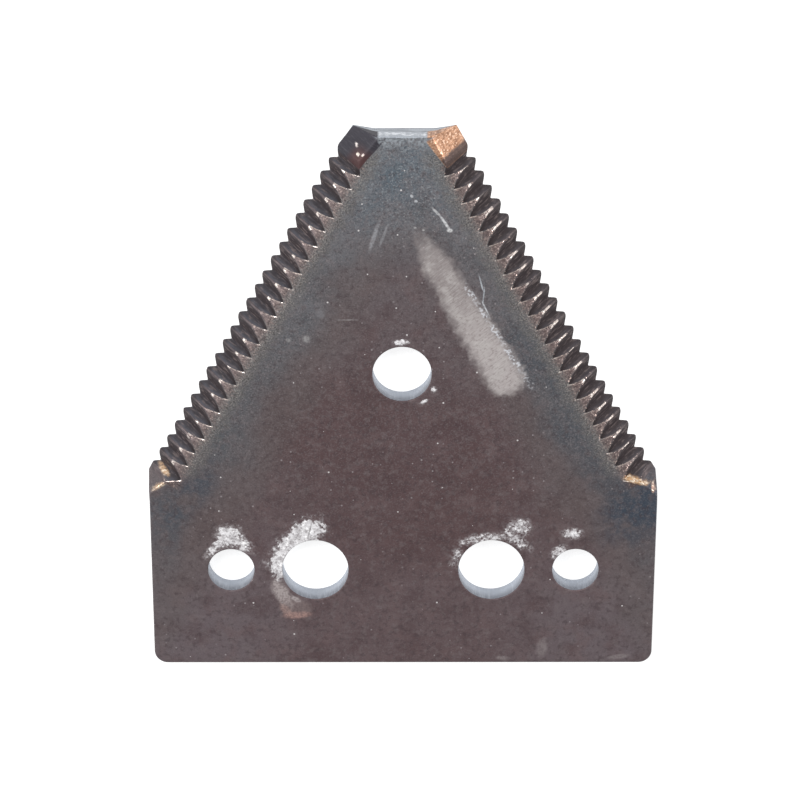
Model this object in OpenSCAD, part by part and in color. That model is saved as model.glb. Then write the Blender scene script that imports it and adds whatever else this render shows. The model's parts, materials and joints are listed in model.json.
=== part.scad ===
// Mower sickle section: a flat steel blade with two toothed cutting edges.
// The plate lies on its rear face at z = 0, the tip points along +Y,
// and the bevelled side with the teeth faces up.
// Sizes are in millimetres, angles in degrees.

/* [Plate] */
// Width across the two straight sides
plate_width = 76; // [60:0.5:100]
// Length from the heel edge to the tip
plate_length = 86; // [75:0.5:110]
// Thickness of the steel
plate_thickness = 3.5; // [2.5:0.1:5]
// Length of the straight sides, from the heel edge to the cutting edges
side_length = 31.4; // [27:0.1:40]
// Width of the cropped tip at the rear face
tip_width = 15.5; // [12:0.1:24]
// Radius of the two heel corners
heel_corner_radius = 2; // [0.5:0.1:5]
// Width of the floor of the shallow hollow in the tip, which rises from there to both corners
tip_hollow_width = 9.6; // [6:0.1:11]
// Depth of the hollow in the tip
tip_hollow_depth = 0.5; // [0.2:0.1:1.5]

/* [Holes] */
// Height of the row of four holes above the heel edge
hole_row_height = 16; // [10:0.1:20]
// Diameter of the inner pair of rivet holes
inner_hole_diameter = 10; // [6:0.1:13]
// Distance between the centres of the inner pair
inner_hole_spacing = 26.6; // [24:0.1:32]
// Diameter of the outer pair of rivet holes
outer_hole_diameter = 7; // [4:0.1:9]
// Distance between the centres of the outer pair
outer_hole_spacing = 52; // [48:0.1:58]
// Diameter of the single hole above the row
upper_hole_diameter = 8.7; // [5:0.1:12]
// Height of the single hole above the heel edge
upper_hole_height = 48.4; // [36:0.1:60]

/* [Cutting edges] */
// Slope of the bevel and of the groove floors
bevel_angle = 43; // [35:0.5:55]
// Thickness left standing at the cutting edge
edge_land = 0.2; // [0.1:0.05:0.5]
// Distance from one groove to the next along the edge
groove_pitch = 2.52; // [2:0.01:4]
// Depth of each notch, seen square to the plate
notch_depth = 1; // [0.6:0.05:1.4]
// Angle between the two flanks of a groove
groove_angle = 105; // [90:1:115]
// Lean of each groove towards the heel
groove_lean = 10; // [0:1:15]
// Plain bevel from the tip corner to the first notch
tip_land = 4.85; // [3:0.05:8]
// Least plain edge from the last notch to the heel corner
heel_land = 1.6; // [1:0.05:4]
// Distance from the cutting edge at which the teeth start to round off towards the front face
shoulder_start = 1.9; // [1.4:0.1:2.6]
// Angle at which the rounding leaves the bevel
shoulder_break = 3; // [2:1:6]
// Distance by which the rounding reaches past the inner ends of the grooves
shoulder_margin = 0.4; // [0.2:0.1:1]

/* [Bevel run-out] */
// Slope of the facet that closes each bevel at the heel
runout_slope = 59; // [50:1:75]
// Direction that the facet faces, from the width towards the tip
runout_heading = 52; // [40:1:65]

/* [Hidden] */

// Segments of every round shape
round_steps = 96;
// Amount by which a cutter passes the surface it cuts
overshoot = 1;

half_width = plate_width / 2;
half_tip = tip_width / 2;
edge_drop = plate_length - side_length;
// Angle between a cutting edge and the length of the plate
edge_angle = atan((half_width - half_tip) / edge_drop);
edge_length = edge_drop / cos(edge_angle);

groove_count = floor((edge_length - tip_land - heel_land) / groove_pitch) + 1;
// Way along its floor from the rear face to the front face
groove_run = plate_thickness / sin(bevel_angle);
// Height of the groove cutter, which reaches past the front face
groove_height = (plate_thickness + notch_depth * tan(bevel_angle)) * cos(bevel_angle) + overshoot;
// Flank slopes to either side of a groove, measured from the bevel
heel_flank = 90 - groove_angle / 2 + groove_lean;
tip_flank = 90 - groove_angle / 2 - groove_lean;
// Start and end of the rounded shoulder across the edge, outwards and up
shoulder_low = [-shoulder_start, edge_land + shoulder_start * tan(bevel_angle)];
shoulder_high = [-notch_depth - plate_thickness / tan(bevel_angle) - shoulder_margin, plate_thickness];
// Direction from the start of the shoulder to its centre line, and the radius that joins both ends
shoulder_inward = -[sin(bevel_angle - shoulder_break), cos(bevel_angle - shoulder_break)];
shoulder_chord = shoulder_high - shoulder_low;
shoulder_radius = shoulder_chord * shoulder_chord / (2 * shoulder_chord * shoulder_inward);
// Reach of the big blocks that cut along a plane
block = plate_length;

// Two holes side by side, centred on the plate
module hole_pair(diameter, spacing, height) {
    for (side = [-1, 1])
        translate([side * spacing / 2, height, -overshoot])
            cylinder(d = diameter, h = plate_thickness + 2 * overshoot, $fn = round_steps);
}

// What rounding takes off a corner of the heel, as a flat shape
module corner_waste() {
    difference() {
        translate([-heel_corner_radius, -overshoot])
            square([heel_corner_radius + overshoot, heel_corner_radius + overshoot]);
        translate([-heel_corner_radius, heel_corner_radius])
            circle(r = heel_corner_radius, $fn = round_steps);
    }
}

// Outline of the blank at the rear face
module outline() {
    difference() {
        polygon([
            [-half_width, 0],
            [half_width, 0],
            [half_width, side_length],
            [half_tip, plate_length],
            [tip_hollow_width / 2, plate_length - tip_hollow_depth],
            [-tip_hollow_width / 2, plate_length - tip_hollow_depth],
            [-half_tip, plate_length],
            [-half_width, side_length]
        ]);
        translate([half_width, 0])
            corner_waste();
        translate([-half_width, 0])
            mirror([1, 0])
                corner_waste();
    }
}

// Places a cutter on the right cutting edge: X runs from the tip to the heel, Y points outwards
module on_edge() {
    translate([half_tip, plate_length, 0])
        rotate(edge_angle - 90)
            children();
}

// Everything above the bevel plane
module above_bevel() {
    on_edge()
        translate([0, 0, edge_land])
            rotate([-bevel_angle, 0, 0])
                translate([-block, -block, 0])
                    cube([edge_length + 2 * block, 2 * block, block]);
}

// Everything above the plane that closes the bevel at the heel
module above_runout() {
    translate([half_width, side_length, edge_land])
        rotate([0, 0, runout_heading])
            rotate([0, runout_slope, 0])
                translate([-block, -block, 0])
                    cube([2 * block, 2 * block, block]);
}

// One leaning V groove, with its notch on the rear edge at the origin
module groove() {
    translate([0, -notch_depth, 0])
        rotate([90 - bevel_angle, 0, 0])
            translate([0, 0, -groove_height])
                linear_extrude(groove_run + 2 * groove_height)
                    polygon([
                        [0, 0],
                        [groove_height / tan(heel_flank), groove_height],
                        [-groove_height / tan(tip_flank), groove_height]
                    ]);
}

// What rounding takes off the shoulder, from the first notch to the last
module shoulder_waste() {
    on_edge()
        translate([tip_land, 0, 0])
            rotate([90, 0, 90])
                linear_extrude((groove_count - 1) * groove_pitch)
                    difference() {
                        polygon([
                            shoulder_low,
                            shoulder_high,
                            shoulder_high + [0, overshoot],
                            [shoulder_low[0], plate_thickness + overshoot],
                            shoulder_low + overshoot * [sin(bevel_angle), cos(bevel_angle)]
                        ]);
                        translate(shoulder_low + shoulder_radius * shoulder_inward)
                            circle(r = shoulder_radius, $fn = round_steps);
                    }
}

// Bevel, rounded shoulder and grooves of the right cutting edge
module edge_cut() {
    intersection() {
        above_bevel();
        above_runout();
    }
    shoulder_waste();
    on_edge()
        for (i = [0 : groove_count - 1])
            translate([tip_land + i * groove_pitch, 0, 0])
                groove();
}

module sickle_section() {
    color([0.37, 0.34, 0.34])
        translate([0, -plate_length / 2, 0])
            difference() {
                linear_extrude(plate_thickness)
                    outline();
                edge_cut();
                mirror([1, 0, 0])
                    edge_cut();
                hole_pair(inner_hole_diameter, inner_hole_spacing, hole_row_height);
                hole_pair(outer_hole_diameter, outer_hole_spacing, hole_row_height);
                translate([0, upper_hole_height, -overshoot])
                    cylinder(d = upper_hole_diameter, h = plate_thickness + 2 * overshoot, $fn = round_steps);
            }
}

sickle_section();
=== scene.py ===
"""A mower sickle section lying on a pale floor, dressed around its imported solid.

Lengths named here are millimetres in the part's frame: +X across the plate, +Y from the heel to the tip
and +Z out of the bevelled front face. They become metres where a mesh, lamp or camera is made.
"""

import json
import math

import bpy
import numpy as np
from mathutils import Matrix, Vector, noise
from mathutils.geometry import delaunay_2d_cdt


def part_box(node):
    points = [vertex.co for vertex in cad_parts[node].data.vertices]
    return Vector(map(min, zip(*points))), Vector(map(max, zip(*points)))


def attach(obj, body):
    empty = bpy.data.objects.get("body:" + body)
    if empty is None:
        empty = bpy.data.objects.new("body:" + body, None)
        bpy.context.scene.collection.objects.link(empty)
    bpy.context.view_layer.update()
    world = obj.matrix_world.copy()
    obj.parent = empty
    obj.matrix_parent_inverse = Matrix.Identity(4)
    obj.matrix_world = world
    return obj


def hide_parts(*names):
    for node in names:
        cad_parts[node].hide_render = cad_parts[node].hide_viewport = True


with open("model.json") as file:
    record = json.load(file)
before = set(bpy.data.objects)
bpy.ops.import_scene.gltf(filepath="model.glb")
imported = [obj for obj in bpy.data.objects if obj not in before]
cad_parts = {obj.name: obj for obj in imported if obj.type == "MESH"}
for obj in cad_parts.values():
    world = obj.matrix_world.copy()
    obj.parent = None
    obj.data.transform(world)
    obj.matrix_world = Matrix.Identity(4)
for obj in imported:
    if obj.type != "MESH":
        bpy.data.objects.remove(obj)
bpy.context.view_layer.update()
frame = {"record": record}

MM = 0.001
NODE = "sickle_section"

# The plate, whose overall sizes come from the solid
plate_low, plate_high = (np.array(corner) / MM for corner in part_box(NODE))
HALF_WIDTH = plate_high[0]
HEEL_Y = plate_low[1]
TIP_Y = plate_high[1]
THICKNESS = plate_high[2]
SIDE_LENGTH = 31.4
HALF_TIP = 15.5 / 2
HEEL_CORNER_RADIUS = 2.0
TIP_HOLLOW_HALF = 9.6 / 2
TIP_HOLLOW_DEPTH = 0.5

# The cutting edges
BEVEL = math.radians(43)
BEVEL_SLOPE = math.tan(BEVEL)
EDGE_LAND = 0.2
GROOVE_PITCH = 2.52
GROOVE_COUNT = 23
NOTCH_DEPTH = 1.0
TIP_LAND = 4.85
LAST_NOTCH = TIP_LAND + (GROOVE_COUNT - 1) * GROOVE_PITCH
# Rise of the two flanks of a groove per millimetre along the edge
HEEL_FLANK_SLOPE = math.tan(math.radians(47.5)) / math.cos(BEVEL)
TIP_FLANK_SLOPE = math.tan(math.radians(27.5)) / math.cos(BEVEL)
RUNOUT_SLOPE = math.tan(math.radians(59))
RUNOUT_HEADING = math.radians(52)

EDGE_ANGLE = math.atan2(HALF_WIDTH - HALF_TIP, TIP_Y - HEEL_Y - SIDE_LENGTH)
EDGE_SIN = math.sin(EDGE_ANGLE)
EDGE_COS = math.cos(EDGE_ANGLE)
EDGE_LENGTH = (TIP_Y - HEEL_Y - SIDE_LENGTH) / EDGE_COS

# Rounded shoulder of the teeth: way inwards and height of its two ends, and the circle that joins them
SHOULDER_START = 1.9
SHOULDER_MARGIN = 0.4
SHOULDER_BREAK = BEVEL - math.radians(3)
SHOULDER_LOW = np.array([SHOULDER_START, EDGE_LAND + SHOULDER_START * BEVEL_SLOPE])
SHOULDER_HIGH = np.array([NOTCH_DEPTH + THICKNESS / BEVEL_SLOPE + SHOULDER_MARGIN, THICKNESS])
SHOULDER_NORMAL = np.array([math.sin(SHOULDER_BREAK), -math.cos(SHOULDER_BREAK)])
SHOULDER_CHORD = SHOULDER_HIGH - SHOULDER_LOW
SHOULDER_RADIUS = SHOULDER_CHORD @ SHOULDER_CHORD / (2 * SHOULDER_CHORD @ SHOULDER_NORMAL)
SHOULDER_CENTRE = SHOULDER_LOW + SHOULDER_RADIUS * SHOULDER_NORMAL
# Way along the edge over which the rounding starts at the first notch and ends at the last
SHOULDER_FADE = 0.3

# Small roundings, given as the height over which two surfaces blend
CREST_BLEND = 0.1
FLOOR_BLEND = 0.12
TOOTH_BLEND = 0.35
ARC_BLEND = 0.05
TIP_SHOULDER_BLEND = 0.25
RUNOUT_BLEND = 0.35
# Radii of the worn rims
OUTER_RIM = 0.28
HOLE_RIM = 0.16

# Unevenness of the toothing: spread of place and depth, and height and grain of the rough steel
PLACE_SPREAD = 0.06
DEPTH_SPREAD = 0.04
ROUGH_HEIGHT = 0.035
ROUGH_GRAIN = 0.55
ROUGH_START = 0.1
ROUGH_FULL = 1.2
ROUGH_FADE = 4.0
# The upper part of the plate stands a little to the left: shift, and the heights over which it sets in
EDGE_DRIFT = -0.25
DRIFT_RISE = (HEEL_Y + 27, HEEL_Y + 34)
# The left tip corner stands further in than the right one: shift, heights and widths over which it sets in
TIP_CORNER_SHIFT = 0.65
TIP_CORNER_RISE = (38.5, 43.0)
TIP_CORNER_SPAN = (-1.0, -5.0)
# Seeds of the uneven toothing on the right and on the left
TOOTH_SEEDS = {1: 11, -1: 7}

# Mesh spacing
STRIP_WIDTH = 5.8
STRIP_ROWS = 44
STRIP_STEP = 0.2
STRIP_TIP_REACH = 3.6
STRIP_HEEL_REACH = 3.4
TIP_COLUMNS = 26
HEEL_COLUMNS = 16
# Columns of the mesh from one groove to the next, closest at the floor and the crest
COLUMN_SHARES = (0, 0.03, 0.08, 0.14, 0.2, 0.25, 0.285, 0.305, 0.323, 0.341, 0.365, 0.4, 0.45,
                 0.51, 0.58, 0.66, 0.74, 0.82, 0.89, 0.95)
FACE_STEP = 1.0
REAR_STEP = 3.0
HOLE_STEPS = 96
HOLE_RINGS = (0.02, 0.06, 0.11, HOLE_RIM, 0.4, 0.8)
CORNER_STEPS = 13
SIDE_STEPS = 40
HEEL_STEPS = 80
TIP_STEPS = 60
RIM_TURNS = (25, 45, 65, 90)
LEAST_WALL = 0.02
MERGE = 1e-5
SHARP_ANGLE = math.radians(55)
# Numbers kept for every point: its place, its way along and in from the nearer edge, its depth below the
# ungrooved surface and its way from the floor of the nearest groove
FIELDS = ("x", "y", "z", "along", "inward", "sunk", "offset")
# Spacing of the mesh inside small marks, its steps in their half sizes, and how far out it reaches
MARK_STEP = 0.2
LEAST_MARK_STEP = 0.04
STEPS_IN_MARK = 3
MARK_REACH = 2.2
# Distance from the rims that the points keep, in radii of the rims
STRIP_CLEARANCE = 1.15
MARK_CLEARANCE = 2

# Uneven borders of the marks: coarse and fine grain, level, noise settings and the most by which they move
COARSE_RAG = 3.0
FINE_RAG = 0.7
RAG_LEVEL = 0.5
RAG_OCTAVES = (1.0, 2.0, 3)
RAG_LIMIT = 0.6
# Weight by which the tint of a mark carries on outside it
FAINT_TINT = 1e-3
# Where the marks lie on the front face: centre, half sizes, turn in degrees, strength and colour
# Blue and pale patches left by heat
HEAT_PATCHES = (
    ((35.6, -16.8), (6.0, 4.6), 35, 0.9, (56, 67, 80)),
    ((30.0, -12.0), (4.5, 2.6), -40, 0.6, (70, 75, 82)),
    ((-31.2, -13.6), (5.6, 1.9), 55, 0.75, (66, 74, 84)),
    ((-35.8, -18.5), (2.8, 4.6), 0, 0.65, (74, 81, 89)),
    ((-0.6, 36.0), (3.4, 2.8), 0, 0.6, (84, 98, 108)),
    ((-4.6, 30.6), (2.6, 1.6), 60, 0.45, (82, 94, 103)),
    ((-5.6, 36.4), (1.1, 2.6), -24, 0.5, (134, 138, 140)),
    ((0.8, 41.6), (4.2, 0.7), 0, 0.5, (128, 134, 139)),
)
# Scratches, spots and stains
MARKS = (
    ((-4.3, 27.2), (2.1, 0.32), 73, 0.75, (150, 150, 154)),
    ((-2.9, 27.4), (2.0, 0.18), 71, 0.7, (140, 140, 144)),
    ((4.6, 31.0), (1.0, 0.16), -47, 0.8, (190, 190, 192)),
    ((5.9, 29.3), (1.2, 0.2), -57, 0.95, (206, 206, 208)),
    ((6.6, 28.1), (0.35, 0.3), 0, 0.95, (214, 214, 214)),
    ((11.2, 19.9), (1.1, 0.11), -75, 0.9, (182, 187, 193)),
    ((11.6, 17.9), (1.2, 0.09), -95, 0.8, (176, 181, 187)),
    ((11.9, 15.9), (1.1, 0.1), -65, 0.9, (196, 198, 202)),
    ((-14.3, 11.1), (0.55, 0.55), 0, 0.85, (150, 148, 148)),
    ((-12.1, 15.0), (0.6, 0.6), 0, 0.45, (132, 132, 136)),
    ((-16.9, 10.9), (0.35, 0.3), 0, 0.8, (140, 138, 138)),
    ((1.1, 33.4), (0.24, 0.2), -50, 0.95, (200, 202, 206)),
    ((1.75, 32.6), (0.24, 0.2), 0, 0.9, (190, 192, 196)),
    ((1.6, 28.5), (0.2, 0.17), 0, 0.85, (180, 178, 178)),
    ((2.8, 28.2), (0.2, 0.17), 0, 0.85, (180, 178, 178)),
    ((-8.3, 14.1), (1.3, 0.09), 0, 0.7, (150, 146, 146)),
    ((-18.4, -30.9), (2.4, 1.1), -60, 0.95, (166, 156, 155)),
    ((-16.4, -33.0), (2.3, 1.3), -10, 0.55, (136, 122, 120)),
    ((-16.4, -31.9), (0.8, 0.35), -28, 0.8, (190, 182, 182)),
    ((-16.1, -34.7), (1.9, 0.55), 4, 0.75, (170, 138, 130)),
    ((-17.9, -33.7), (1.1, 0.6), -50, 0.7, (160, 134, 127)),
    ((-14.1, -20.4), (1.0, 0.09), 76, 0.9, (64, 58, 60)),
    ((21.2, -40.4), (0.8, 1.6), -10, 0.55, (140, 131, 131)),
    ((15.1, -42.1), (1.0, 0.3), 0, 0.6, (140, 131, 131)),
    ((33.0, -41.9), (1.5, 0.35), 8, 0.6, (140, 132, 132)),
)
# Flaky crust beside the holes, and two painted glints on the rim of the upper hole laid with it
CRUST_TINT = (214, 212, 214)
SCUFF_ROWS = (
    ((-26.2, -20.8), (1.9, 1.2), 0, 0.85),
    ((-26.0, -22.4), (2.2, 1.0), 0, 0.5),
    ((-28.4, -23.3), (1.9, 0.7), 48, 0.7),
    ((-24.0, -22.8), (1.7, 0.9), -38, 0.6),
    ((-16.5, -22.6), (4.6, 1.8), 50, 1.0),
    ((-14.2, -20.6), (2.3, 1.5), 10, 1.0),
    ((-18.9, -26.6), (0.9, 2.2), 0, 0.85),
    ((12.0, -21.7), (3.2, 0.9), 8, 0.6),
    ((17.4, -19.8), (1.8, 1.3), 0, 0.62),
    ((17.3, -22.3), (2.2, 0.8), -32, 0.6),
    ((8.0, -24.8), (0.8, 1.9), -15, 0.5),
    ((25.4, -20.8), (1.4, 0.9), 0, 0.75),
    ((23.4, -23.9), (1.3, 0.8), 35, 0.7),
    ((-0.55, 10.55), (1.0, 0.42), 0, 1.1),
    # Painted glints on the lower right rim of the upper hole
    ((4.5, 2.9), (0.4, 0.5), 0, 0.8),
    ((3.0, 1.0), (0.6, 0.3), 30, 0.8),
)
SCUFFS = tuple((*row, CRUST_TINT) for row in SCUFF_ROWS)
# Painted glints, laid as bright metal: gold highlights on the facets that close the bevels at the heel, and
# white ones on the left tip land
GLINT_PATCHES = (
    ((34.6, -12.1), (1.8, 0.36), -14, 1.0, (206, 166, 126)),
    ((37.3, -13.4), (0.22, 0.6), 0, 1.0, (214, 176, 160)),
    ((-35.9, -11.0), (0.9, 0.32), -34, 1.0, (206, 172, 140)),
    ((-36.7, -13.0), (0.9, 0.3), 30, 1.0, (206, 176, 148)),
    ((-6.8, 40.7), (0.16, 0.26), 20, 1.0, (250, 240, 236)),
    ((-6.6, 39.5), (0.2, 0.16), 0, 1.0, (250, 240, 236)),
    ((-5.9, 39.6), (0.15, 0.15), 0, 1.0, (240, 224, 220)),
)
# Sets of marks: name, rows, softness of their borders, and grain and strength of the unevenness
PAINTS = (
    ("temper", HEAT_PATCHES, 0.6, COARSE_RAG, 0.25),
    ("mark", MARKS, 0.4, FINE_RAG, 0.25),
    ("crust", SCUFFS, 0.75, FINE_RAG, 0.4),
    # The last set holds painted glints, laid as bright metal
    ("bare", GLINT_PATCHES, 0.45, FINE_RAG, 0.4),
)


def srgb(red, green, blue):
    """A colour given as it shows on screen, 0 to 255, as the linear values that shaders take."""
    shares = (value / 255 for value in (red, green, blue))
    return tuple(s / 12.92 if s <= 0.04045 else ((s + 0.055) / 1.055) ** 2.4 for s in shares)


def hole_list():
    """Centre x, centre y and radius of every hole, from the mounts in the record."""
    holes = []
    for mount in frame["record"]["mounts"]:
        x, y, _ = (value / MM for value in mount["pos_m"])
        dims = mount["dims"]
        if "spacing_x_mm" in dims:
            half = dims["spacing_x_mm"] / 2
            holes += [(x - half, y, dims["hole_r_mm"]), (x + half, y, dims["hole_r_mm"])]
        elif "r_mm" in dims:
            holes.append((x, y, dims["r_mm"]))
    return holes


HOLES = hole_list()


# Shape of the front face


def smooth_min(a, b, reach):
    """The lower of two heights, blended where they differ by less than reach."""
    share = np.clip(0.5 + 0.5 * (b - a) / reach, 0, 1)
    return b + (a - b) * share - reach * share * (1 - share)


def smooth_max(a, b, reach):
    """The higher of two heights, blended where they differ by less than reach."""
    return -smooth_min(-a, -b, reach)


def smooth_step(value, start, end):
    """0 before start, 1 after end, and a smooth rise between them."""
    share = np.clip((value - start) / (end - start), 0, 1)
    return share * share * (3 - 2 * share)


def to_edge(x, y):
    """Way along the nearer cutting edge from the tip corner, and way inwards from that edge."""
    across = np.abs(x) - HALF_TIP
    down = TIP_Y - y
    return across * EDGE_SIN + down * EDGE_COS, down * EDGE_SIN - across * EDGE_COS


def from_edge(along, inward, side):
    """The point at a way along and inwards from the cutting edge on that side."""
    x = side * (HALF_TIP + along * EDGE_SIN - inward * EDGE_COS)
    return x, TIP_Y - along * EDGE_COS - inward * EDGE_SIN


def toothing(seed):
    """Places along the edge and depths of one row of notches, a little uneven."""
    spread = np.random.RandomState(seed)
    places = TIP_LAND + GROOVE_PITCH * np.arange(GROOVE_COUNT)
    places = places + spread.normal(0, PLACE_SPREAD, GROOVE_COUNT)
    return places, NOTCH_DEPTH + spread.normal(0, DEPTH_SPREAD, GROOVE_COUNT)


TOOTHING = {side: toothing(seed) for side, seed in TOOTH_SEEDS.items()}


def groove_rise(along, index, places):
    """Height of a groove's flanks above its own floor."""
    offset = along - places[index]
    rise = smooth_max(offset * HEEL_FLANK_SLOPE, -offset * TIP_FLANK_SLOPE, FLOOR_BLEND)
    return rise - FLOOR_BLEND / 4


def nearest_grooves(along, places):
    """Indices of the grooves before and after a place on the edge, clamped to the row."""
    before = np.searchsorted(places, along) - 1
    return np.clip(before, 0, GROOVE_COUNT - 1), np.clip(before + 1, 0, GROOVE_COUNT - 1)


def groove_surface(along, inward, side):
    """Height of the grooved surface of one edge, and the way along the edge from the groove's floor."""
    places, depths = TOOTHING[side]
    before, after = nearest_grooves(along, places)
    low = (inward - depths[before]) * BEVEL_SLOPE + groove_rise(along, before, places)
    high = (inward - depths[after]) * BEVEL_SLOPE + groove_rise(along, after, places)
    offset = along - np.where(low < high, places[before], places[after])
    return smooth_min(low, high, CREST_BLEND), offset


def grooves(x, y):
    """Height of the grooved surface of the nearer edge, and the way from the groove's floor."""
    along, inward = to_edge(x, y)
    left = groove_surface(along, inward, -1)
    right = groove_surface(along, inward, 1)
    return tuple(np.where(x > 0, b, a) for a, b in zip(left, right))


def notch_line(along, side):
    """How far the toothed outline stands in from the straight edge."""
    places, depths = TOOTHING[side]
    roots = [
        depths[index] - groove_rise(along, index, places) / BEVEL_SLOPE
        for index in nearest_grooves(along, places)
    ]
    line = smooth_max(np.maximum(roots[0], roots[1]), 0.0, TOOTH_BLEND)
    on_edge = (along > 0) & (along < EDGE_LENGTH)
    return np.where(on_edge, line, 0.0)


def tip_end(x):
    """Height in Y of the end face at the tip, hollow between its corners."""
    rise = np.clip((np.abs(x) - TIP_HOLLOW_HALF) / (HALF_TIP - TIP_HOLLOW_HALF), 0, 1)
    return TIP_Y - TIP_HOLLOW_DEPTH * (1 - rise)


def rim_distance(x, y):
    """Way inwards from the heel, the sides and the tip end."""
    to_side = HALF_WIDTH - np.abs(x)
    to_heel = y - HEEL_Y
    radius = HEEL_CORNER_RADIUS
    in_corner = (to_side < radius) & (to_heel < radius)
    to_corner = radius - np.hypot(radius - to_side, radius - to_heel)
    straight = np.minimum(to_side, to_heel)
    return np.minimum(np.where(in_corner, to_corner, straight), tip_end(x) - y)


def rim_drop(distance, radius):
    """How far a rounded rim falls below the face, at a distance from its wall."""
    short = radius - np.clip(distance, 0, radius)
    return radius - np.sqrt(np.maximum(radius**2 - short**2, 0))


def shoulder_height(inward):
    """Height of the rounding between the bevel and the front face, and clear of both beyond its ends."""
    across = inward - SHOULDER_CENTRE[0]
    arc = SHOULDER_CENTRE[1] + np.sqrt(np.maximum(SHOULDER_RADIUS**2 - across**2, 0))
    return np.where((inward > SHOULDER_START) & (across < 0), arc, 2 * THICKNESS)


def sloped_face(x, y):
    """The front face with its bevels, shoulders and run-outs, before the grooves are cut."""
    along, inward = to_edge(x, y)
    bevel = EDGE_LAND + inward * BEVEL_SLOPE
    past_corner = (np.abs(x) - HALF_WIDTH) * math.cos(RUNOUT_HEADING)
    past_corner += (y - HEEL_Y - SIDE_LENGTH) * math.sin(RUNOUT_HEADING)
    runout = EDGE_LAND - past_corner * RUNOUT_SLOPE
    plain = smooth_min(smooth_max(bevel, runout, RUNOUT_BLEND), THICKNESS, TIP_SHOULDER_BLEND)
    rounded = smooth_min(plain, shoulder_height(inward), ARC_BLEND)
    toothed = smooth_step(along, TIP_LAND - SHOULDER_FADE, TIP_LAND + SHOULDER_FADE)
    toothed = toothed * smooth_step(along, LAST_NOTCH + SHOULDER_FADE, LAST_NOTCH - SHOULDER_FADE)
    return plain + (rounded - plain) * toothed


def roughness_height(x, y):
    """Fine unevenness of the toothed zone, centred on zero."""
    points = zip(x / ROUGH_GRAIN, y / ROUGH_GRAIN)
    return np.array([noise.noise((px, py, 0.0)) for px, py in points])


def front_height(x, y):
    """Height of the front face over the rear face."""
    _, inward = to_edge(x, y)
    height = smooth_min(sloped_face(x, y), grooves(x, y)[0], CREST_BLEND)
    height = np.minimum(height, THICKNESS - rim_drop(rim_distance(x, y), OUTER_RIM))
    for hole_x, hole_y, radius in HOLES:
        to_wall = np.hypot(x - hole_x, y - hole_y) - radius
        height = np.minimum(height, THICKNESS - rim_drop(to_wall, HOLE_RIM))
    in_teeth = smooth_step(inward, STRIP_WIDTH, ROUGH_FADE) * smooth_step(inward, ROUGH_START, ROUGH_FULL)
    height = height + roughness_height(x, y) * ROUGH_HEIGHT * in_teeth
    return np.maximum(height, LEAST_WALL)


# Points of the mesh


def edge_columns(side):
    """Places along one edge at which the mesh has a column."""
    places = TOOTHING[side][0]
    pairs = zip(places[:-1], places[1:])
    between = [a + (b - a) * share for a, b in pairs for share in COLUMN_SHARES]
    tip = np.linspace(0, places[0], TIP_COLUMNS, endpoint=False)
    heel = np.linspace(places[-1], EDGE_LENGTH, HEEL_COLUMNS)
    return np.concatenate([tip, between, heel])


def edge_outline(side):
    """The toothed outline of one edge, from the tip corner to the heel corner."""
    along = edge_columns(side)
    return np.column_stack(from_edge(along, notch_line(along, side), side))


def strip_points(side):
    """Points over the toothed zone of one edge."""
    before = np.arange(-STRIP_TIP_REACH, 0, STRIP_STEP)
    after = EDGE_LENGTH + np.arange(STRIP_STEP, STRIP_HEEL_REACH, STRIP_STEP)
    along = np.concatenate([before, edge_columns(side), after])[:, None]
    shares = np.linspace(0, 1, STRIP_ROWS)[1:]
    line = notch_line(along, side)
    inward = line + (STRIP_WIDTH - line) * shares
    x, y = from_edge(along + 0 * inward, inward, side)
    points = np.column_stack([x.ravel(), y.ravel()])
    return points[rim_distance(points[:, 0], points[:, 1]) > OUTER_RIM * STRIP_CLEARANCE]


def rim_points(line):
    """Rows of points that follow an open line a little way inside it, for its rounded rim."""
    ahead = np.gradient(line, axis=0)
    inward = np.column_stack([-ahead[:, 1], ahead[:, 0]])
    inward /= np.linalg.norm(inward, axis=1)[:, None]
    rows = [line + inward * OUTER_RIM * (1 - math.cos(math.radians(turn))) for turn in RIM_TURNS]
    points = np.concatenate(rows)
    return points[rim_distance(points[:, 0], points[:, 1]) > LEAST_WALL / 2]


def heel_line():
    """Outline of the sides and the heel, from the left heel corner of the edges to the right one."""
    radius = HEEL_CORNER_RADIUS
    turns = np.linspace(0, math.pi / 2, CORNER_STEPS)
    corner_x = HALF_WIDTH - radius + radius * np.sin(turns)
    corner_y = HEEL_Y + radius - radius * np.cos(turns)
    right = np.column_stack([corner_x, corner_y])
    left = np.column_stack([-corner_x[::-1], corner_y[::-1]])
    side_y = np.linspace(HEEL_Y + radius, HEEL_Y + SIDE_LENGTH, SIDE_STEPS)[1:]
    heel_x = np.linspace(-HALF_WIDTH + radius, HALF_WIDTH - radius, HEEL_STEPS)[1:-1]
    left_side = np.column_stack([np.full_like(side_y, -HALF_WIDTH), side_y[::-1]])
    right_side = np.column_stack([np.full_like(side_y, HALF_WIDTH), side_y])
    heel = np.column_stack([heel_x, np.full_like(heel_x, HEEL_Y)])
    return np.concatenate([left_side, left, heel, right, right_side])


def tip_line():
    """Outline of the tip end, from the right corner to the left one."""
    x = np.linspace(HALF_TIP, -HALF_TIP, TIP_STEPS)
    return np.column_stack([x, tip_end(x)])


def hole_ring(hole, distance):
    """Points round a hole at a distance from its wall."""
    turns = np.arange(HOLE_STEPS) * 2 * math.pi / HOLE_STEPS
    reach = hole[2] + distance
    return np.column_stack([hole[0] + reach * np.cos(turns), hole[1] + reach * np.sin(turns)])


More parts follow.
